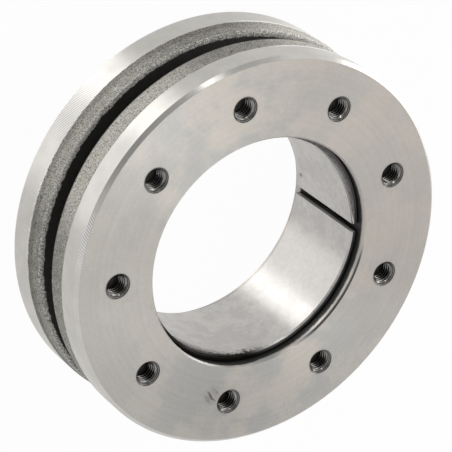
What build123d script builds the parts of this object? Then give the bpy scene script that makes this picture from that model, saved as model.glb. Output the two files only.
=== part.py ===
"""Three-part shrink disc: two thrust rings, a slit inner ring and nine locking screws.

Millimetres. The disc's axis is +Z and the origin is on that axis, on the surface
that the screw heads stand on. The tapped front ring is on top.
"""
import os
from math import cos, radians, sin, tan

from build123d import *

# thrust rings
outer_radius = 92.5
ring_width = 24.3
ring_gap = 8.4
face_chamfer = 1.7
mouth_chamfer = 0.8
front_band_width = 12.3
rear_band_width = 14.0
forging_draft = 5.0
forged_corner_radius = 2.0

# inner ring
bore_radius = 52.5
inner_length = 47.0
front_recess = 6.2
end_wall = 2.1
taper_angle = 6.0
crest_land = 4.0
bore_chamfer = 0.8
slit_width = 4.0
slit_angle = 18.6

# locking screws
screw_count = 9
screw_circle_radius = 72.0
screw_radius = 5.0
screw_length = 50.0
tip_chamfer = 1.0
head_height = 6.4
head_flats = 17.0
head_chamfer_angle = 30.0
washer_face_radius = 7.8
washer_face_height = 0.4

# clearances, all radial
taper_clearance = 0.25
tapped_hole_clearance = 0.05
through_hole_clearance = 0.5
tapped_hole_countersink = 1.0
through_hole_countersink = 0.4

# heights along the axis, from the surface under the screw heads
rear_face = head_height
front_face = rear_face + 2 * ring_width + ring_gap
inner_front_end = front_face - front_recess
inner_rear_end = inner_front_end - inner_length
inner_middle = (inner_front_end + inner_rear_end) / 2

# the double taper: both thrust rings carry the bore that the inner ring's cones need,
# opened by the clearance at the end that stands nearest to its thrust ring's outer face
slope = tan(radians(taper_angle))
inner_end_radius = bore_radius + end_wall
crest_radius = inner_end_radius + slope * (inner_length - crest_land) / 2
shallow_recess = min(front_recess, inner_rear_end - rear_face)
mouth_radius = inner_end_radius + taper_clearance - slope * shallow_recess
throat_radius = mouth_radius + slope * ring_width
tapped_hole_radius = screw_radius + tapped_hole_clearance
through_hole_radius = screw_radius + through_hole_clearance


def corner(section, radius, height):
    """The corner of a half section that lies at a radius and a height."""
    return section.vertices().sort_by_distance(Vector(radius, height))[0]


def thrust_ring_section(face, gap_side, band_width):
    """Half section of a thrust ring.

    face is the height of the machined outer face, and gap_side is +1 or -1, the way
    from that face to the gap. The outside is turned for band_width from the face, and
    keeps its forged skin, with its draft and its rounded corner, from there to the gap.
    """
    band_end = face + gap_side * band_width
    gap_face = face + gap_side * ring_width
    forged_radius = outer_radius - tan(radians(forging_draft)) * (ring_width - band_width)
    with BuildSketch(Plane.XZ) as section:
        with BuildLine():
            Polyline(
                (mouth_radius, face),
                (outer_radius, face),
                (outer_radius, band_end),
                (forged_radius, gap_face),
                (throat_radius, gap_face),
                close=True,
            )
        make_face()
        chamfer(corner(section, outer_radius, face), face_chamfer)
        chamfer(corner(section, mouth_radius, face), mouth_chamfer)
        fillet(corner(section, forged_radius, gap_face), forged_corner_radius)
    return section.sketch


os.makedirs("parts", exist_ok=True)

# front thrust ring: its nine tapped holes are open on the front face
front_section = thrust_ring_section(front_face, -1, front_band_width)
with BuildPart() as front_thrust_ring:
    revolve(front_section, axis=Axis.Z)
    with Locations(Plane.XY.offset(front_face)):
        with PolarLocations(screw_circle_radius, screw_count):
            CounterSinkHole(
                radius=tapped_hole_radius,
                counter_sink_radius=tapped_hole_radius + tapped_hole_countersink,
                depth=ring_width,
                counter_sink_angle=90,
            )
front_thrust_ring.part.label = "front_thrust_ring"
export_step(front_thrust_ring.part, "parts/front_thrust_ring.step")

# rear thrust ring: the screws pass through it, and their heads bear on its outer face
rear_section = thrust_ring_section(rear_face, 1, rear_band_width)
with BuildPart() as rear_thrust_ring:
    revolve(rear_section, axis=Axis.Z)
    with Locations(Plane.XY.offset(rear_face).rotated((180, 0, 0))):
        with PolarLocations(screw_circle_radius, screw_count):
            CounterSinkHole(
                radius=through_hole_radius,
                counter_sink_radius=through_hole_radius + through_hole_countersink,
                depth=ring_width,
                counter_sink_angle=90,
            )
rear_thrust_ring.part.label = "rear_thrust_ring"
export_step(rear_thrust_ring.part, "parts/rear_thrust_ring.step")

# inner ring: cylindrical bore, two cones that fall away from a short land at mid-length,
# and one slit along its whole length that lets it close on the hub
with BuildPart() as inner_ring:
    with BuildSketch(Plane.XZ) as inner_section:
        with BuildLine():
            Polyline(
                (bore_radius, inner_rear_end),
                (inner_end_radius, inner_rear_end),
                (crest_radius, inner_middle - crest_land / 2),
                (crest_radius, inner_middle + crest_land / 2),
                (inner_end_radius, inner_front_end),
                (bore_radius, inner_front_end),
                close=True,
            )
        make_face()
        chamfer(corner(inner_section, bore_radius, inner_front_end), bore_chamfer)
        chamfer(corner(inner_section, bore_radius, inner_rear_end), bore_chamfer)
    revolve(axis=Axis.Z)
    with BuildSketch(Plane.XY.offset(inner_rear_end)):
        with PolarLocations(bore_radius / 2, 1, start_angle=slit_angle):
            Rectangle(bore_radius, slit_width, align=(Align.MIN, Align.CENTER))
    extrude(amount=inner_length, mode=Mode.SUBTRACT)
inner_ring.part.label = "inner_ring"
export_step(inner_ring.part, "parts/inner_ring.step")

# locking screws: hexagon heads under the rear ring, threaded ends in the front ring
head_chamfer_radius = head_flats / 2
head_corner_radius = head_chamfer_radius / cos(radians(30))
head_chamfer_depth = (head_corner_radius - head_chamfer_radius) * tan(radians(head_chamfer_angle))
hexagon_height = head_height - washer_face_height
screw_tip = head_height + screw_length

for number in range(screw_count):
    angle = radians(360 / screw_count * number)
    centre = (screw_circle_radius * cos(angle), screw_circle_radius * sin(angle), 0)
    seat = Plane(origin=centre, x_dir=(cos(angle), sin(angle), 0), z_dir=(0, 0, 1))
    upright = Plane(origin=centre, x_dir=(cos(angle), sin(angle), 0), z_dir=(sin(angle), -cos(angle), 0))
    with BuildPart() as screw:
        with BuildSketch(seat):
            RegularPolygon(head_flats / 2, 6, major_radius=False)
        extrude(amount=hexagon_height)
        with BuildSketch(upright):
            with BuildLine():
                Polyline(
                    (0, 0),
                    (head_chamfer_radius, 0),
                    (head_corner_radius, head_chamfer_depth),
                    (head_corner_radius, hexagon_height),
                    (0, hexagon_height),
                    close=True,
                )
            make_face()
        revolve(axis=Axis(centre, (0, 0, 1)), mode=Mode.INTERSECT)
        with BuildSketch(upright):
            with BuildLine():
                Polyline(
                    (0, hexagon_height),
                    (washer_face_radius, hexagon_height),
                    (washer_face_radius, head_height),
                    (screw_radius, head_height),
                    (screw_radius, screw_tip - tip_chamfer),
                    (screw_radius - tip_chamfer, screw_tip),
                    (0, screw_tip),
                    close=True,
                )
            make_face()
        revolve(axis=Axis(centre, (0, 0, 1)))
    screw.part.label = f"locking_screw_{number + 1}"
    export_step(screw.part, f"parts/locking_screw_{number + 1}.step")
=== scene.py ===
from math import cos, pi, radians, sin, tan
from types import SimpleNamespace

import bmesh
import bpy
from mathutils import Matrix, Vector


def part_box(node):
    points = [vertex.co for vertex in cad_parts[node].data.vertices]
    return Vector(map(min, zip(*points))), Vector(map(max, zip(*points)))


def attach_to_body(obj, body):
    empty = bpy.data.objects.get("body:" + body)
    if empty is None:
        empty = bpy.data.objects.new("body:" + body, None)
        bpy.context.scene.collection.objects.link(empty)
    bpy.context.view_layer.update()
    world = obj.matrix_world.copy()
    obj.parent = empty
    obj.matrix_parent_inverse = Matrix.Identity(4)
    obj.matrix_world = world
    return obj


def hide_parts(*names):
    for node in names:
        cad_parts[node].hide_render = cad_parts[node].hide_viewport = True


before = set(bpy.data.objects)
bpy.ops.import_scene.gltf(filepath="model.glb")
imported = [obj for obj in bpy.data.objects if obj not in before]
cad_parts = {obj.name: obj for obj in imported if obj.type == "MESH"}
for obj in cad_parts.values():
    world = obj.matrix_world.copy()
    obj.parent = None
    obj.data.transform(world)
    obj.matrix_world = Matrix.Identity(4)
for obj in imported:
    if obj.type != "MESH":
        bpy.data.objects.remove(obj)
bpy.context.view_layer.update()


# Rear thrust ring: a steel forging. Its outer face, band, chamfers and taper bore are turned, and
# its outside keeps the grainy forged skin from the band to the gap. The screws pass through nine
# plain holes in it, and their heads bear on its outer face.
rear_ring_low, rear_ring_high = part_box("rear_thrust_ring")
rear_face = rear_ring_low.z
outer_radius = rear_ring_high.x
ring_width = rear_ring_high.z - rear_ring_low.z
face_chamfer = 0.0017
mouth_edge_radius = 0.0556
rim_from = 0.084
bore_to = 0.060
screw_count = 9
screw_circle = 0.072
crisp = 0.0002


def new_finish(name):
    """A new material, with its node tree and its main shader."""
    finish = bpy.data.materials.new(name)
    finish.use_nodes = True
    tree = finish.node_tree
    return finish, tree, tree.nodes["Principled BSDF"]


def attach(tree, value, socket):
    """Sets a socket to a number or a vector, or links it to another socket."""
    if isinstance(value, bpy.types.NodeSocket):
        tree.links.new(value, socket)
    else:
        socket.default_value = value


def maths(tree, operation, *values, clamp=False):
    """The result of a maths node, from numbers or other sockets."""
    node = tree.nodes.new("ShaderNodeMath")
    node.operation = operation
    node.use_clamp = clamp
    for value, socket in zip(values, node.inputs):
        attach(tree, value, socket)
    return node.outputs[0]


def both(tree, first, *others):
    """Where all the masks are 1."""
    for other in others:
        first = maths(tree, "MULTIPLY", first, other)
    return first


def above(tree, value, edge, softness):
    """A mask that is 0 below the edge and 1 above it, with a soft step between."""
    node = tree.nodes.new("ShaderNodeMapRange")
    node.interpolation_type = "SMOOTHSTEP"
    attach(tree, value, node.inputs["Value"])
    node.inputs["From Min"].default_value = edge - softness / 2
    node.inputs["From Max"].default_value = edge + softness / 2
    return node.outputs["Result"]


def opposite(tree, mask):
    """A mask that is 1 where the given one is 0."""
    return maths(tree, "SUBTRACT", 1.0, mask)


def below(tree, value, edge, softness):
    """A mask that is 1 below the edge and 0 above it."""
    return opposite(tree, above(tree, value, edge, softness))


def within(tree, value, low, high, softness):
    """A mask that is 1 between two edges."""
    return both(tree, above(tree, value, low, softness), below(tree, value, high, softness))


def blend_colours(tree, share, first, second):
    """The first colour, and by a share the second."""
    node = tree.nodes.new("ShaderNodeMix")
    node.data_type = "RGBA"
    attach(tree, share, node.inputs[0])
    attach(tree, first, node.inputs[6])
    attach(tree, second, node.inputs[7])
    return node.outputs[2]


def stain(tree, colour, tint, mask, share):
    """Tints a colour where the mask is 1, by a share."""
    return blend_colours(tree, maths(tree, "MULTIPLY", mask, share), colour, tint)


def blend_values(tree, share, first, second):
    """The first value, and by a share the second."""
    node = tree.nodes.new("ShaderNodeMix")
    attach(tree, share, node.inputs[0])
    attach(tree, first, node.inputs[2])
    attach(tree, second, node.inputs[3])
    return node.outputs[0]


def grain(tree, place, size, detail=4.0, roughness=0.5):
    """Soft noise in three dimensions, with lumps of about the given size in metres."""
    node = tree.nodes.new("ShaderNodeTexNoise")
    attach(tree, place, node.inputs["Vector"])
    node.inputs["Scale"].default_value = 1 / size
    node.inputs["Detail"].default_value = detail
    node.inputs["Roughness"].default_value = roughness
    return node.outputs["Fac"]


def mottle(tree, place, size, edge, softness, detail=4.0, roughness=0.5):
    """A patchy mask, with patches of about the given size in metres."""
    return above(tree, grain(tree, place, size, detail, roughness), edge, softness)


def lines(tree, distance, pitch, detail=2.0):
    """Uneven parallel lines, about a pitch apart, along a distance in metres."""
    node = tree.nodes.new("ShaderNodeTexNoise")
    node.noise_dimensions = "1D"
    attach(tree, distance, node.inputs["W"])
    node.inputs["Scale"].default_value = 1 / pitch
    node.inputs["Detail"].default_value = detail
    return node.outputs["Fac"]


def place_on_ring(tree):
    """The point itself, its distance from the disc's axis, its height, and its angle."""
    place = tree.nodes.new("ShaderNodeTexCoord").outputs["Object"]
    parts = tree.nodes.new("ShaderNodeSeparateXYZ")
    attach(tree, place, parts.inputs[0])
    across = maths(tree, "MULTIPLY", parts.outputs[0], parts.outputs[0])
    along = maths(tree, "MULTIPLY", parts.outputs[1], parts.outputs[1])
    radius = maths(tree, "SQRT", maths(tree, "ADD", across, along))
    angle = maths(tree, "ARCTAN2", parts.outputs[1], parts.outputs[0])
    return place, radius, parts.outputs[2], angle


def heading(azimuth, elevation=0.0):
    """The direction at an azimuth and an elevation in degrees."""
    azimuth, elevation = radians(azimuth), radians(elevation)
    return Vector((cos(elevation) * cos(azimuth), cos(elevation) * sin(azimuth), sin(elevation)))


def reach(tree, place, azimuth, elevation=0.0):
    """How far a point lies from the origin towards an azimuth and an elevation."""
    node = tree.nodes.new("ShaderNodeVectorMath")
    node.operation = "DOT_PRODUCT"
    attach(tree, place, node.inputs[0])
    node.inputs[1].default_value = heading(azimuth, elevation)
    return node.outputs["Value"]


def side(tree, place, azimuth, edge, softness):
    """A mask of the side that lies past an edge, in metres from the axis, towards an azimuth."""
    return above(tree, reach(tree, place, azimuth), edge, softness)


def near(tree, place, spot, size, softness):
    """A round mask about a point."""
    node = tree.nodes.new("ShaderNodeVectorMath")
    node.operation = "DISTANCE"
    attach(tree, place, node.inputs[0])
    node.inputs[1].default_value = spot
    return below(tree, node.outputs["Value"], size, softness)


def wave(tree, phase):
    """A sine wave between 0 and 1."""
    return maths(tree, "MULTIPLY_ADD", maths(tree, "SINE", phase), 0.5, 0.5)


def relief(tree, shader, *layers):
    """Stacks bumps on the shader, each a height between 0 and 1 with its depth in metres."""
    normal = None
    for height, depth in layers:
        node = tree.nodes.new("ShaderNodeBump")
        node.inputs["Distance"].default_value = depth
        attach(tree, height, node.inputs["Height"])
        if normal:
            attach(tree, normal, node.inputs["Normal"])
        normal = node.outputs["Normal"]
    attach(tree, normal, shader.inputs["Normal"])


groove_pitch = 0.0008
groove_depth = 0.00002
wave_size = 0.006
wave_depth = 0.00005
forging_depth = 0.0006
turned_roughness = 0.34
worn_roughness = 0.46
chamfer_roughness = 0.31
hole_roughness = 0.50
forged_roughness = 0.60


def turned_gloss(tree, shader):
    """Steel whose gloss lies across the turning grooves, which run round the disc's axis."""
    shader.inputs["Metallic"].default_value = 1.0
    shader.inputs["Anisotropic"].default_value = 0.8
    shader.inputs["Anisotropic Rotation"].default_value = 0.25
    tangent = tree.nodes.new("ShaderNodeTangent")
    tangent.direction_type = "RADIAL"
    tangent.axis = "Z"
    attach(tree, tangent.outputs[0], shader.inputs["Tangent"])


def from_hole_axis(tree, radius, angle):
    """How far a point lies from the axis of the nearest screw hole."""
    spacing = 2 * pi / screw_count
    turns = maths(tree, "ROUND", maths(tree, "DIVIDE", angle, spacing))
    aside = maths(tree, "MULTIPLY_ADD", turns, -spacing, angle)
    across = maths(tree, "MULTIPLY", radius, maths(tree, "SINE", aside))
    along = maths(tree, "MULTIPLY_ADD", radius, maths(tree, "COSINE", aside), -screw_circle)
    along = maths(tree, "MULTIPLY", along, along)
    return maths(tree, "SQRT", maths(tree, "MULTIPLY_ADD", across, across, along))


def ring_surface(tree, face, gap_side):
    """Where a point lies on a thrust ring, and the uneven patterns that its marks share.

    The depth counts from the outer face towards the gap. The run counts across the turning
    grooves, over the face's edges too.
    """
    place, radius, height, angle = place_on_ring(tree)
    depth = maths(tree, "MULTIPLY", maths(tree, "SUBTRACT", height, face), gap_side)
    lumps = grain(tree, place, 0.0025)
    return SimpleNamespace(
        place=place,
        radius=radius,
        angle=angle,
        depth=depth,
        run=maths(tree, "SUBTRACT", depth, radius),
        lumps=lumps,
        speckle=grain(tree, place, 0.0006, roughness=0.7),
        ragged_depth=maths(tree, "MULTIPLY_ADD", lumps, 0.0012, depth),
        outside=above(tree, radius, rim_from, crisp),
        among_holes=within(tree, radius, bore_to, rim_from, crisp),
    )


warm_steel = (0.665, 0.622, 0.568, 1)
cool_steel = (0.54, 0.533, 0.512, 1)
tanned_steel = (0.64, 0.588, 0.54, 1)
bright_steel = (0.72, 0.69, 0.645, 1)
# Dark grime; also the colour of painted shade on the band's marks and the mouth's edge.
grime = (0.13, 0.122, 0.115, 1)


def turned_colour(tree, ring):
    """The turned face: warm and cool patches, fine dirt, and painted warm reflection, highlight and shade on
    three sides.
    """
    place = ring.place
    patches = mottle(tree, place, 0.028, edge=0.5, softness=0.20, detail=5.0, roughness=0.6)
    colour = blend_colours(tree, patches, cool_steel, warm_steel)
    # Painted warm reflection on one side and a painted highlight on another.
    colour = stain(tree, colour, tanned_steel, side(tree, place, 40, 0.040, 0.06), 0.6)
    colour = stain(tree, colour, bright_steel, side(tree, place, 202, 0.050, 0.05), 0.6)
    streaks = above(tree, lines(tree, ring.run, 0.0022, detail=3.0), 0.5, 0.6)
    dust = mottle(tree, place, 0.0009, edge=0.5, softness=0.5, detail=3.0, roughness=0.7)
    # Painted shade on a third side, mixed in with the real streaks and dust.
    dull_side = side(tree, place, 280, 0.050, 0.05)
    dirt = maths(tree, "MULTIPLY", streaks, 0.05)
    dirt = maths(tree, "MULTIPLY_ADD", dust, 0.10, dirt)
    dirt = maths(tree, "MULTIPLY_ADD", dull_side, 0.20, dirt)
    pits = mottle(tree, place, 0.0016, edge=0.715, softness=0.02, detail=5.0, roughness=0.75)
    return blend_colours(tree, maths(tree, "MAXIMUM", dirt, pits), colour, grime)


band_steel = (0.65, 0.63, 0.595, 1)
pale_band_steel = (0.71, 0.69, 0.655, 1)
# Near-white steel, for bright bare spots and for painted glints.
glinting_steel = (0.96, 0.95, 0.93, 1)


def band_colour(tree, ring, colour, band, chatter):
    """The turned band, cloudy, with the chatter marks that a shaking tool left round one spot.

    The marks slant: so many stand side by side round the ring, and so many per metre of depth.
    """
    cloudy = mottle(tree, ring.place, 0.010, edge=0.5, softness=0.34, detail=5.0, roughness=0.65)
    colour = blend_colours(tree, band, colour, blend_colours(tree, cloudy, band_steel, pale_band_steel))
    zone = both(
        tree,
        band,
        near(tree, ring.place, chatter.middle, chatter.radius, 0.0050),
        within(tree, ring.depth, chatter.from_depth, chatter.to_depth, 0.0004),
    )
    round_ring = maths(tree, "MULTIPLY", ring.angle, chatter.marks_round)
    slanted = maths(tree, "MULTIPLY_ADD", ring.depth, chatter.marks_deep * 2 * pi, round_ring)
    marks = wave(tree, slanted)
    # Painted glints on the marks' ridges and painted shade in their hollows.
    colour = stain(tree, colour, glinting_steel, both(tree, zone, marks), chatter.glints)
    return stain(tree, colour, grime, both(tree, zone, opposite(tree, marks)), chatter.hollows)


def burr_line(tree, ring, band_width, glints):
    """Where a painted highlight lies along the turned band's edge: whole on the upper side, in dashes on the
    left.
    """
    burr_start = band_width - 0.0004
    burr_end = band_width + 0.0011
    burr = within(tree, ring.ragged_depth, burr_start, burr_end, crisp)
    whole = side(tree, ring.place, 83, 0.086, 0.006)
    left_side = side(tree, ring.place, 190, 0.088, 0.006)
    dashes = both(tree, above(tree, ring.speckle, 0.52, 0.06), left_side, glints)
    return both(tree, burr, ring.outside, maths(tree, "MAXIMUM", whole, dashes))


def dab(tree, place, colour, tint, share, spot, size):
    """A round soft-edged spot of a tint."""
    return stain(tree, colour, tint, near(tree, place, spot, size, 0.0015), share)


skin_hollow = (0.10, 0.094, 0.083, 1)
skin_peak = (0.66, 0.64, 0.585, 1)
shaded_skin = (0.10, 0.092, 0.078, 1)
rubbed_skin = (0.80, 0.78, 0.71, 1)
gap_steel = (0.06, 0.058, 0.054, 1)


def forged_colour(tree, ring, band_width, skin):
    """The forged skin: grainy and sooty, with painted shade next to the band and painted highlights on two
    sides.

    Its corner at the gap has painted glints and is darker towards the gap, each by its share, and it has one
    bright spot and one dark spot.
    """
    colour = blend_colours(tree, above(tree, ring.speckle, 0.5, 0.40), skin_hollow, skin_peak)
    soot = mottle(tree, ring.place, 0.004, edge=0.55, softness=0.3, detail=3.0)
    colour = stain(tree, colour, skin_hollow, soot, 0.25)
    next_to_band = below(tree, ring.ragged_depth, band_width + 0.0042, 0.0018)
    shade = maths(tree, "MULTIPLY", next_to_band, skin.shade)
    colour = blend_colours(tree, shade, colour, shaded_skin)
    # Painted highlights on the upper side and on the left side.
    upper_side = maths(tree, "MULTIPLY", side(tree, ring.place, 70, 0.080, 0.018), 0.8)
    left_side = both(tree, side(tree, ring.place, 157, 0.082, 0.012), opposite(tree, shade), skin.light)
    rubbed = both(tree, maths(tree, "MAXIMUM", upper_side, left_side), above(tree, ring.speckle, 0.46, 0.20))
    colour = blend_colours(tree, rubbed, colour, rubbed_skin)
    # Painted glints in specks along the corner at the gap.
    corner = both(
        tree,
        above(tree, ring.depth, ring_width - 0.0021, 0.0010),
        above(tree, ring.radius, outer_radius - 0.0030, 0.0006),
    )
    flakes = mottle(tree, ring.place, 0.0008, edge=0.54, softness=0.08, detail=4.0, roughness=0.7)
    colour = stain(tree, colour, glinting_steel, both(tree, corner, flakes), skin.glints)
    # Darker towards the gap, by a share.
    next_to_gap = above(tree, ring.depth, ring_width - 0.0017, 0.0014)
    colour = stain(tree, colour, gap_steel, next_to_gap, skin.dirt)
    colour = dab(tree, ring.place, colour, glinting_steel, 0.5, *skin.nick)
    return dab(tree, ring.place, colour, skin_hollow, 0.8, *skin.dent)


cone_steel = (0.36, 0.35, 0.33, 1)
oily_steel = (0.05, 0.048, 0.045, 1)
hole_rim_radius = 0.0064
hole_wall_depth = 0.0011
cone_groove_pitch = 0.00055


def hole_colour(tree, ring, colour, in_holes):
    """The holes: a dull rim on the face, a countersink with fine grooves, and an oily wall."""
    from_axis = from_hole_axis(tree, ring.radius, ring.angle)
    rim = both(tree, ring.among_holes, below(tree, from_axis, hole_rim_radius, 0.0012))
    colour = stain(tree, colour, grime, rim, 0.15)
    uneven = maths(tree, "MULTIPLY_ADD", ring.lumps, 0.0002, from_axis)
    grooves = wave(tree, maths(tree, "MULTIPLY", uneven, 2 * pi / cone_groove_pitch))
    cone = blend_colours(tree, grooves, oily_steel, cone_steel)
    colour = blend_colours(tree, in_holes, colour, cone)
    wall = both(tree, ring.among_holes, above(tree, ring.depth, hole_wall_depth, 0.0004))
    return blend_colours(tree, wall, colour, oily_steel)


black_grease = (0.05, 0.05, 0.048, 1)
stroke_spot = (0.0022, -0.0690, 0.0634)
stroke_pitch = 0.0011


def greasy_strokes(tree, ring):
    """Where grease was smeared in strokes on the front face, beside its lowest hole."""
    bent = maths(tree, "MULTIPLY_ADD", ring.lumps, 0.0022, reach(tree, ring.place, 54.5))
    strokes = above(tree, lines(tree, bent, stroke_pitch), 0.52, 0.12)
    strokes = maths(tree, "MULTIPLY_ADD", strokes, 0.75, 0.10)
    return both(tree, strokes, near(tree, ring.place, stroke_spot, 0.0034, 0.0040))


narrow_mouth = 0.0009


def greasy_mouth(tree, ring, clean_mouth):
    """Where grease stands in the taper bore: past a clean ragged rim, narrow on the lowest side."""
    in_bore = below(tree, ring.radius, bore_to, crisp)
    under_face = above(tree, ring.depth, 0.00002, 0.00002)
    lowest_side = side(tree, ring.place, 267, 0.050, 0.005)
    smeared = maths(tree, "MULTIPLY_ADD", lowest_side, clean_mouth - narrow_mouth, ring.ragged_depth)
    return both(tree, in_bore, under_face, above(tree, smeared, clean_mouth + 0.0006, 0.0014))


def dull_mouth_edge(tree, ring):
    """Where a thin line of painted shade lies on the mouth's edge, on the right."""
    at_mouth = below(tree, ring.radius, mouth_edge_radius, 0.0004)
    at_face = below(tree, ring.depth, 0.0005, 0.0003)
    return both(tree, at_mouth, at_face, side(tree, ring.place, -15, 0.0505, 0.004))


def dirty_gap_face(tree, ring):
    """Where shade is painted on the ring's gap face: up to a ragged line, which starts further in on the
    upper side.
    """
    ragged_radius = maths(tree, "MULTIPLY_ADD", ring.lumps, 0.0020, ring.radius)
    upper_side = side(tree, ring.place, 78, 0.078, 0.030)
    ragged_radius = maths(tree, "MULTIPLY_ADD", upper_side, 0.0014, ragged_radius)
    gap_face = above(tree, ring.depth, ring_width - 0.0008, 0.0006)
    return both(tree, gap_face, below(tree, ragged_radius, outer_radius - 0.0014, 0.0005))


def thrust_ring_finish(name, face, gap_side, band_width, clean_mouth, chatter, skin):
    """Turned steel on the face and band, forged skin beyond the band, grease in the bore, and painted
    highlights and shade.
    """
    finish, tree, shader = new_finish(name)
    ring = ring_surface(tree, face, gap_side)
    band = both(tree, ring.outside, above(tree, ring.depth, 0.0001, 0.0001))
    forged = both(tree, ring.outside, above(tree, ring.ragged_depth, band_width + 0.0006, crisp))
    in_holes = both(tree, ring.among_holes, above(tree, ring.depth, 0.00006, 0.0001))

    colour = band_colour(tree, ring, turned_colour(tree, ring), band, chatter)
    colour = blend_colours(tree, greasy_strokes(tree, ring), colour, grime)
    colour = blend_colours(tree, forged, colour, forged_colour(tree, ring, band_width, skin))
    # Painted highlight along the band's edge.
    burr = burr_line(tree, ring, band_width, skin.glints)
    colour = blend_colours(tree, burr, colour, glinting_steel)
    colour = hole_colour(tree, ring, colour, in_holes)
    colour = blend_colours(tree, greasy_mouth(tree, ring, clean_mouth), colour, black_grease)
    # Painted shade on the mouth's edge.
    colour = blend_colours(tree, dull_mouth_edge(tree, ring), colour, grime)
    # Painted shade on the gap face.
    colour = blend_colours(tree, dirty_gap_face(tree, ring), colour, gap_steel)
    attach(tree, colour, shader.inputs["Base Color"])

    worn = grain(tree, ring.place, 0.012, detail=3.0)
    roughness = blend_values(tree, worn, turned_roughness, worn_roughness)
    chamfer = both(
        tree,
        above(tree, ring.radius, outer_radius - face_chamfer + 0.0001, crisp),
        below(tree, ring.depth, face_chamfer, crisp),
    )
    roughness = blend_values(tree, chamfer, roughness, chamfer_roughness)
    roughness = blend_values(tree, in_holes, roughness, hole_roughness)
    roughness = blend_values(tree, forged, roughness, forged_roughness)
    attach(tree, roughness, shader.inputs["Roughness"])
    turned_gloss(tree, shader)

    turned = opposite(tree, forged)
    grooves = both(tree, lines(tree, ring.run, groove_pitch), turned)
    waves = both(tree, grain(tree, ring.place, wave_size, detail=2.0), turned)
    rough = both(tree, maths(tree, "ADD", ring.speckle, ring.lumps), forged)
    relief(tree, shader, (grooves, groove_depth), (waves, wave_depth), (rough, forging_depth))
    return finish


def finish_node(node, finish):
    """Gives a carried-over piece its finish."""
    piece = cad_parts[node]
    piece.data.materials.clear()
    piece.data.materials.append(finish)


rear_chatter = SimpleNamespace(
    middle=heading(156) * outer_radius + Vector((0, 0, rear_face + 0.0060)),
    radius=0.017,
    from_depth=0.0002,
    to_depth=0.0138,
    marks_round=210,
    marks_deep=686,
    glints=0.4,
    hollows=0.28,
)
rear_skin = SimpleNamespace(
    shade=0.35,
    light=0.5,
    glints=0.7,
    dirt=0.0,
    nick=((-0.0772, 0.0506, 0.0262), 0.0010),
    dent=((-0.0700, 0.0600, 0.0300), 0.0005),
)
rear_finish = thrust_ring_finish(
    "rear_ring_finish",
    face=rear_face,
    gap_side=1,
    band_width=0.0140,
    clean_mouth=0.0045,
    chatter=rear_chatter,
    skin=rear_skin,
)
finish_node("rear_thrust_ring", rear_finish)


# Inner ring: a steel sleeve with a plain bore and two outside cones, cut through by one sawn slit.
# It is turned all over and sits loose between the two thrust rings' taper bores, in black grease
# that was wiped off its bore but still stands on its lower edge.
inner_ring_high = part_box("inner_ring")[1]
slit_azimuth = 18.6
slit_half_width = 0.002
end_wall_radius = 0.0545
dull_bore_steel = (0.63, 0.61, 0.59, 1)
bore_steel = (0.79, 0.77, 0.74, 1)
wiped_steel = (0.33, 0.315, 0.315, 1)
stained_steel = (0.17, 0.165, 0.165, 1)
dusty_steel = (0.52, 0.51, 0.50, 1)
blackened = (0.016, 0.015, 0.013, 1)
oil_spots = [
    ((0.0463, 0.0247, 0.0145), 0.0009),
    ((0.0495, 0.0174, 0.0163), 0.0014),
    ((0.0179, -0.0494, 0.0550), 0.0009),
    ((0.0184, -0.0492, 0.0535), 0.0009),
]


def wiped_colour(tree, place, from_edge, colour):
    """The darker slanting stretch by the front edge, blotted and darkest at the edge, with a dark and then a
    bright border.
    """
    slanting = maths(tree, "MULTIPLY_ADD", reach(tree, place, 85), 0.22, from_edge)
    wiped = above(tree, slanting, 0.0041, 0.0004)
    dark_border = both(tree, wiped, below(tree, slanting, 0.0046, 0.0003))
    bright_border = within(tree, slanting, 0.0047, 0.0052, 0.0003)
    blots = mottle(tree, place, 0.0012, edge=0.5, softness=0.20, detail=4.0, roughness=0.7)
    at_edge = maths(tree, "MULTIPLY", above(tree, from_edge, -0.0012, 0.0030), 0.5)
    dirty = both(tree, wiped, maths(tree, "MULTIPLY_ADD", blots, 0.6, at_edge, clamp=True))
    colour = blend_colours(tree, wiped, colour, wiped_steel)
    colour = blend_colours(tree, dirty, colour, grime)
    colour = stain(tree, colour, grime, dark_border, 0.6)
    return stain(tree, colour, bore_steel, bright_border, 0.7)


def tufted_colour(tree, place, from_edge, colour, low_side):
    """The grease on the lower edge: a black tufted line and a smudge, both wider on the left."""
    tufts = maths(tree, "MULTIPLY_ADD", grain(tree, place, 0.0016, roughness=0.7), 0.0085, from_edge)
    specks = mottle(tree, place, 0.0010, edge=0.5, softness=0.16, detail=3.0, roughness=0.7)
    to_left = maths(tree, "MAXIMUM", maths(tree, "SUBTRACT", reach(tree, place, 200), 0.008), 0.0)
    smudge = above(tree, maths(tree, "MULTIPLY_ADD", to_left, 0.36, tufts), 0.0012, 0.0055)
    smudge = both(tree, smudge, low_side, maths(tree, "MULTIPLY_ADD", specks, 0.4, 0.45))
    colour = blend_colours(tree, smudge, colour, grime)
    line = above(tree, maths(tree, "MULTIPLY_ADD", to_left, 0.14, tufts), 0.0024, 0.0006)
    return blend_colours(tree, both(tree, line, low_side), colour, blackened)


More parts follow.
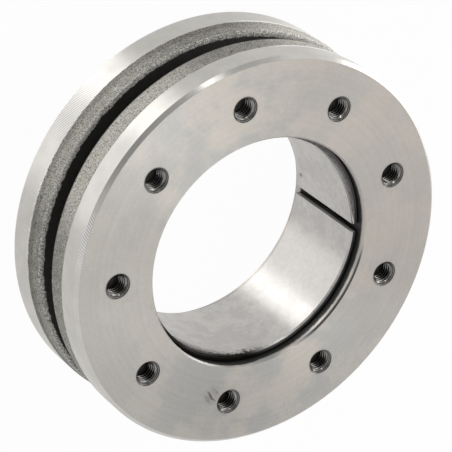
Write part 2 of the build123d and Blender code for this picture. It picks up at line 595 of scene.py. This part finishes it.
def inner_ring_finish(name):
    """Bright turned steel in the bore, sawn steel in the slit, grease on the ends and cones."""
    finish, tree, shader = new_finish(name)
    place, radius, height, _ = place_on_ring(tree)
    from_edge = maths(tree, "SUBTRACT", height, inner_ring_high.z)
    low_side = side(tree, place, 263, 0.0440, 0.008)
    patches = mottle(tree, place, 0.009, edge=0.5, softness=0.22, detail=5.0, roughness=0.65)
    colour = blend_colours(tree, patches, dull_bore_steel, bore_steel)
    flecks = mottle(tree, place, 0.0020, edge=0.5, softness=0.4, detail=4.0, roughness=0.7)
    colour = stain(tree, colour, grime, flecks, 0.12)
    colour = wiped_colour(tree, place, from_edge, colour)
    for spot, size in oil_spots:
        colour = dab(tree, place, colour, grime, 0.8, spot, size)
    colour = tufted_colour(tree, place, from_edge, colour, low_side)
    # The end face is darker, and black on the low side.
    end_face = above(tree, from_edge, -0.0001, 0.0001)
    stained_end = blend_colours(tree, low_side, stained_steel, blackened)
    colour = blend_colours(tree, end_face, colour, stained_end)

    from_slit_middle = maths(tree, "ABSOLUTE", reach(tree, place, slit_azimuth + 90))
    slit = both(
        tree,
        below(tree, from_slit_middle, slit_half_width + 0.00003, 0.00002),
        side(tree, place, slit_azimuth, 0.01, 0.001),
    )
    past_wall = above(tree, radius, end_wall_radius, 0.0004)
    cones = both(tree, past_wall, opposite(tree, end_face), opposite(tree, slit))
    colour = blend_colours(tree, cones, colour, black_grease)
    sawn = blend_colours(tree, above(tree, radius, 0.0542, 0.0012), dusty_steel, black_grease)
    colour = blend_colours(tree, slit, colour, sawn)
    attach(tree, colour, shader.inputs["Base Color"])

    attach(tree, blend_values(tree, patches, turned_roughness, 0.44), shader.inputs["Roughness"])
    turned_gloss(tree, shader)
    attach(tree, opposite(tree, slit), shader.inputs["Metallic"])
    grooves = lines(tree, height, groove_pitch)
    waves = grain(tree, place, wave_size, detail=2.0)
    relief(tree, shader, (grooves, groove_depth), (waves, wave_depth))
    return finish


finish_node("inner_ring", inner_ring_finish("inner_ring_finish"))


# Front thrust ring: the same forging, turned the same way, with nine countersunk and tapped holes
# instead of plain ones. Each thread is a steel ridge wound up the wall of its hole, cut off by the
# countersink at the face and by the gap face below.
front_ring_low, front_ring_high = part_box("front_thrust_ring")
front_face = front_ring_high.z
front_chatter = SimpleNamespace(
    middle=heading(184.5) * (outer_radius - 0.0008) + Vector((0, 0, front_face - 0.0009)),
    radius=0.0125,
    from_depth=0.00004,
    to_depth=0.0020,
    marks_round=440,
    marks_deep=798,
    glints=1.0,
    hollows=0.2,
)
front_skin = SimpleNamespace(
    shade=0.0,
    light=0.8,
    glints=0.0,
    dirt=0.7,
    # A painted glint on the corner by the gap.
    nick=((-0.0923, 0.0038, 0.0420), 0.0004),
    dent=((-0.0418, 0.0823, 0.0474), 0.0007),
)
front_finish = thrust_ring_finish(
    "front_ring_finish",
    face=front_face,
    gap_side=-1,
    band_width=0.0123,
    clean_mouth=0.0022,
    chatter=front_chatter,
    skin=front_skin,
)
finish_node("front_thrust_ring", front_finish)

thread_pitch = 0.0015
thread_slant = tan(radians(30))
pitch_radius = 0.004513
thread_clearance = 0.00003
hole_radius = 0.00505
hole_minor_radius = 0.00425
countersink_radius = 0.00605
steps_per_turn = 32
spare_turns = 3
buried = 0.0001
end_trim = 0.00002
merge_distance = 1e-7
sharp_angle = radians(30)
oiled_flank = (0.22, 0.215, 0.205, 1)
bare_flank = (0.36, 0.35, 0.335, 1)
oiled_crest = (0.02, 0.019, 0.018, 1)


def ridge_half_width(radius):
    """Half the width of the hole's thread ridge, which narrows towards the hole's middle."""
    return thread_pitch / 4 - thread_slant * (pitch_radius - radius) - thread_clearance


def wind(bm, profile, start, turns):
    """Winds (radius, height) points up a right-hand helix about the first screw's axis.

    A profile that ends where it starts is closed, and makes a ridge that is closed all round.
    """
    corners = [bm.verts.new((screw_circle + radius, 0, start + height)) for radius, height in profile]
    sides = [bm.edges.new(pair) for pair in zip(corners, corners[1:])]
    if profile[0] == profile[-1]:
        bmesh.ops.remove_doubles(bm, verts=corners, dist=merge_distance)
        corners, sides = list(bm.verts), list(bm.edges)
    bmesh.ops.spin(
        bm,
        geom=corners + sides,
        cent=(screw_circle, 0, 0),
        axis=(0, 0, 1),
        dvec=(0, 0, thread_pitch / steps_per_turn),
        angle=2 * pi * turns,
        steps=steps_per_turn * turns,
    )
    bmesh.ops.remove_doubles(bm, verts=bm.verts, dist=merge_distance)


def cut_level(bm, height, way):
    """Cuts off what lies above (way 1) or below (way -1) a height, and closes the cut."""
    everything = list(bm.verts) + list(bm.edges) + list(bm.faces)
    cut = bmesh.ops.bisect_plane(
        bm, geom=everything, dist=1e-8, plane_co=(0, 0, height), plane_no=(0, 0, way), clear_outer=True
    )
    rim = [edge for edge in cut["geom_cut"] if isinstance(edge, bmesh.types.BMEdge)]
    bmesh.ops.edgeloop_fill(bm, edges=rim)


def from_screw_axis(corner):
    """How far a corner lies from the first screw's axis."""
    return Vector((corner.co.x - screw_circle, corner.co.y)).length


def shift_from_screw_axis(corner, distance):
    """Moves a corner straight in or out, to a distance from the first screw's axis."""
    away = Vector((corner.co.x - screw_circle, corner.co.y))
    away *= distance / away.length
    corner.co.x, corner.co.y = screw_circle + away.x, away.y


def first_mesh(name, bm, finish):
    """The finished mesh of a piece that stands at the first screw's place."""
    bmesh.ops.recalc_face_normals(bm, faces=bm.faces)
    mesh = bpy.data.meshes.new(name)
    bm.to_mesh(mesh)
    bm.free()
    mesh.shade_smooth()
    mesh.set_sharp_from_angle(angle=sharp_angle)
    mesh.materials.append(finish)
    return mesh


def piece_at(name, mesh, number, body):
    """A copy of the first screw's piece, turned about the disc's axis to another screw's place."""
    piece = bpy.data.objects.new(name, mesh.copy())
    piece.data.transform(Matrix.Rotation(2 * pi * number / screw_count, 4, "Z"))
    bpy.context.scene.collection.objects.link(piece)
    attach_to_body(piece, body)
    return piece


def tapped_thread():
    """The ridge in the first hole: a closed section from behind the wall to the crest.

    Round the countersink its corners are pushed out to the cone, so nothing stands proud of it.
    """
    buried_radius = hole_radius + buried
    flank_parts = 3
    flank_width = hole_minor_radius - buried_radius
    flank = [buried_radius + flank_width * part / flank_parts for part in range(flank_parts + 1)]
    lower = [(radius, -ridge_half_width(radius)) for radius in flank]
    upper = [(radius, ridge_half_width(radius)) for radius in reversed(flank)]
    gap_face, face = front_ring_low.z, front_ring_high.z
    bm = bmesh.new()
    turns = int((face - gap_face) / thread_pitch) + spare_turns
    wind(bm, lower + upper + lower[:1], gap_face - 1.5 * thread_pitch, turns)
    for corner in bm.verts:
        cone = countersink_radius - (face - corner.co.z)
        if from_screw_axis(corner) < cone:
            shift_from_screw_axis(corner, min(cone, buried_radius))
    cut_level(bm, gap_face + end_trim, -1)
    cut_level(bm, face - (countersink_radius - hole_radius), 1)
    return bm


def thread_finish(name):
    """Cut steel with a film of oil on the flanks, and painted shade along the crest."""
    finish, tree, shader = new_finish(name)
    place, radius, _, angle = place_on_ring(tree)
    oil = mottle(tree, place, 0.0025, edge=0.5, softness=0.4, detail=2.0)
    colour = blend_colours(tree, oil, oiled_flank, bare_flank)
    # Painted shade along the crest.
    crest = below(tree, from_hole_axis(tree, radius, angle), hole_minor_radius + 0.00009, 0.00006)
    colour = blend_colours(tree, crest, colour, oiled_crest)
    attach(tree, colour, shader.inputs["Base Color"])
    shader.inputs["Metallic"].default_value = 1.0
    shader.inputs["Roughness"].default_value = 0.25
    return finish


thread_mesh = first_mesh("tapped_thread", tapped_thread(), thread_finish("cut_thread_finish"))
for number in range(screw_count):
    piece_at(f"tapped_thread_{number + 1}", thread_mesh, number, "front_ring")
bpy.data.meshes.remove(thread_mesh)


# Locking screws: nine M10 hexagon screws, cold forged and rolled, finished in black oxide. They go
# in from the rear and pull the front ring down its cone, and their flat ends stand in the holes.
screw_crest = 0.0050
screw_root = 0.00408
tip_chamfer = 0.0010
shank_overlap = 0.0002
head_overlap = 0.00005
head_seat = rear_ring_low.z
screw_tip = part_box("locking_screw_1")[1].z
oxide_black = (0.050, 0.046, 0.043, 1)
worn_oxide = (0.10, 0.094, 0.088, 1)


def screw_half_width(radius):
    """Half the width of the screw's thread ridge, which narrows away from the screw's axis."""
    return thread_pitch / 4 + thread_slant * (pitch_radius - radius)


def threaded_shank(seat, tip):
    """The first screw's shank, threaded all the way, its end chamfered and cut flat.

    It is wound from a whole number of pitches below the gap face, and the hole's ridge from half
    a pitch off that, so that the screw's ridge runs midway between the turns of the hole's.
    """
    crest, root = screw_half_width(screw_crest), screw_half_width(screw_root)
    profile = [
        (screw_root, -root),
        (screw_crest, -crest),
        (screw_crest, crest),
        (screw_root, root),
        (screw_root, thread_pitch - root),
    ]
    bm = bmesh.new()
    turns = int((tip - seat) / thread_pitch) + spare_turns
    gap_face = front_ring_low.z
    start = gap_face - thread_pitch * (int((gap_face - seat) / thread_pitch) + 2)
    wind(bm, profile, start, turns)
    for corner in bm.verts:
        limit = screw_crest - tip_chamfer + max(tip - corner.co.z, 0)
        if from_screw_axis(corner) > limit:
            shift_from_screw_axis(corner, limit)
    cut_level(bm, seat - shank_overlap, -1)
    cut_level(bm, tip, 1)
    return bm


def black_oxide_finish(name):
    """Black oxide, worn a little lighter and smoother in places."""
    finish, tree, shader = new_finish(name)
    place = place_on_ring(tree)[0]
    worn = mottle(tree, place, 0.002, edge=0.58, softness=0.2, detail=3.0)
    attach(tree, blend_colours(tree, worn, oxide_black, worn_oxide), shader.inputs["Base Color"])
    shader.inputs["Metallic"].default_value = 0.7
    attach(tree, blend_values(tree, worn, 0.42, 0.32), shader.inputs["Roughness"])
    relief(tree, shader, (grain(tree, place, 0.0005, detail=2.0), 0.00003))
    return finish


def hexagon_screw(seat, tip):
    """The first screw: the plain screw's own hexagon head, on a threaded shank."""
    shank = bpy.data.meshes.new("shank")
    bm = threaded_shank(seat, tip)
    bm.to_mesh(shank)
    bm.free()
    bm = bmesh.new()
    bm.from_mesh(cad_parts["locking_screw_1"].data)
    bmesh.ops.remove_doubles(bm, verts=bm.verts, dist=1e-6)
    cut_level(bm, seat + head_overlap, 1)
    bm.from_mesh(shank)
    bpy.data.meshes.remove(shank)
    return bm


black_oxide = black_oxide_finish("black_oxide_finish")
screw_mesh = first_mesh("hexagon_screw", hexagon_screw(head_seat, screw_tip), black_oxide)
for number in range(screw_count):
    screw = piece_at(f"hexagon_screw_{number + 1}", screw_mesh, number, f"screw_{number + 1}")
    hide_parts(f"locking_screw_{number + 1}")
bpy.data.meshes.remove(screw_mesh)


# Floor: a pale seamless sheet under the disc. The camera sees it white but for the disc's soft
# shadow. The steel mirrors the white room instead of it, and the low lamps shine through it.
floor_half_width = 3.0
floor_colour = (0.8, 0.8, 0.8, 1)
seen_white = 0.97
bm = bmesh.new()
bmesh.ops.create_grid(bm, x_segments=1, y_segments=1, size=floor_half_width)
floor_mesh = bpy.data.meshes.new("floor")
bm.to_mesh(floor_mesh)
bm.free()
floor = bpy.data.objects.new("floor", floor_mesh)
bpy.context.scene.collection.objects.link(floor)
floor.visible_glossy = False
floor.visible_shadow = False

floor_white = bpy.data.materials.new("floor_white")
floor_white.use_nodes = True
tree = floor_white.node_tree
tree.nodes.clear()
rays = tree.nodes.new("ShaderNodeLightPath")
seen = maths(tree, "MAXIMUM", rays.outputs["Is Camera Ray"], rays.outputs["Is Glossy Ray"])
seen = maths(tree, "MAXIMUM", seen, rays.outputs["Is Transmission Ray"])
white_share = maths(tree, "MULTIPLY", seen, seen_white)
pale = tree.nodes.new("ShaderNodeBsdfDiffuse")
pale.inputs["Color"].default_value = floor_colour
glow = tree.nodes.new("ShaderNodeEmission")
mixed = tree.nodes.new("ShaderNodeMixShader")
attach(tree, white_share, mixed.inputs[0])
attach(tree, pale.outputs[0], mixed.inputs[1])
attach(tree, glow.outputs[0], mixed.inputs[2])
output = tree.nodes.new("ShaderNodeOutputMaterial")
attach(tree, mixed.outputs[0], output.inputs[0])
floor_mesh.materials.append(floor_white)


# Studio: a white room with one grey wall, a dark patch overhead, and soft lamps. The camera
# looks down on the standing disc but sees it as one that leans back on its rim, so the room and
# its lamps lean with it.
room_white = 0.80
wall_grey = 0.40
ceiling_dark = 0.08
world = bpy.data.worlds.new("studio")
bpy.context.scene.world = world
world.use_nodes = True
tree = world.node_tree
tree.nodes.clear()
rays = tree.nodes.new("ShaderNodeLightPath")
sky = tree.nodes.new("ShaderNodeTexCoord").outputs["Generated"]
grey_wall = above(tree, reach(tree, sky, 122, 30), 0.69, 0.08)
dark_ceiling = above(tree, reach(tree, sky, 180, 72), 0.88, 0.06)
room = blend_values(tree, grey_wall, room_white, wall_grey)
room = blend_values(tree, dark_ceiling, room, ceiling_dark)
clear = maths(tree, "MAXIMUM", rays.outputs["Is Camera Ray"], rays.outputs["Is Transmission Ray"])
back = tree.nodes.new("ShaderNodeBackground")
back.inputs["Color"].default_value = (1, 1, 1, 1)
attach(tree, blend_values(tree, clear, room, 1.0), back.inputs["Strength"])
output = tree.nodes.new("ShaderNodeOutputWorld")
attach(tree, back.outputs[0], output.inputs[0])


disc_middle = Vector((0, 0, 0.035))
lamp_distance = 1.2


def softbox(name, azimuth, elevation, width, tall, watts):
    """A soft lamp that faces the disc, at an azimuth and an elevation, unseen by the camera."""
    lamp = bpy.data.lights.new(name, "AREA")
    lamp.shape = "RECTANGLE"
    lamp.size = width
    lamp.size_y = tall
    lamp.energy = watts
    holder = bpy.data.objects.new(name, lamp)
    bpy.context.scene.collection.objects.link(holder)
    direction = heading(azimuth, elevation)
    holder.location = disc_middle + direction * lamp_distance
    holder.rotation_euler = direction.to_track_quat("Z", "Y").to_euler()
    holder.visible_camera = False


softbox("strip_light", 134, -45, width=0.40, tall=0.95, watts=1.7)
softbox("side_light", 166, -42, width=1.10, tall=0.95, watts=2.2)
softbox("back_light", 27, 0, width=1.00, tall=0.95, watts=2.6)
softbox("small_light", 107, 35, width=0.08, tall=0.2, watts=0.7)
softbox("hole_light", 62, 49, width=0.3, tall=0.3, watts=0.6)
softbox("mouth_light", 36, 9, width=0.4, tall=0.25, watts=1.3)
softbox("top_light", 10, 79.7, width=0.5, tall=0.5, watts=1.6)

film_width = 36
focal_length = 219.04
camera_direction = heading(158.58, 49.144)
camera_distance = 1.18626
camera_roll = 126.935
aim = Vector((-0.02397, 0.00996, front_face))
camera_data = bpy.data.cameras.new("camera")
camera_data.sensor_width = film_width
camera_data.lens = focal_length
camera = bpy.data.objects.new("camera", camera_data)
bpy.context.scene.collection.objects.link(camera)
stand = Matrix.Translation(aim + camera_direction * camera_distance)
turn = camera_direction.to_track_quat("Z", "Y").to_matrix().to_4x4()
roll = Matrix.Rotation(radians(camera_roll), 4, "Z")
camera.matrix_world = stand @ turn @ roll
bpy.context.scene.camera = camera
bpy.context.scene.view_settings.view_transform = "Standard"
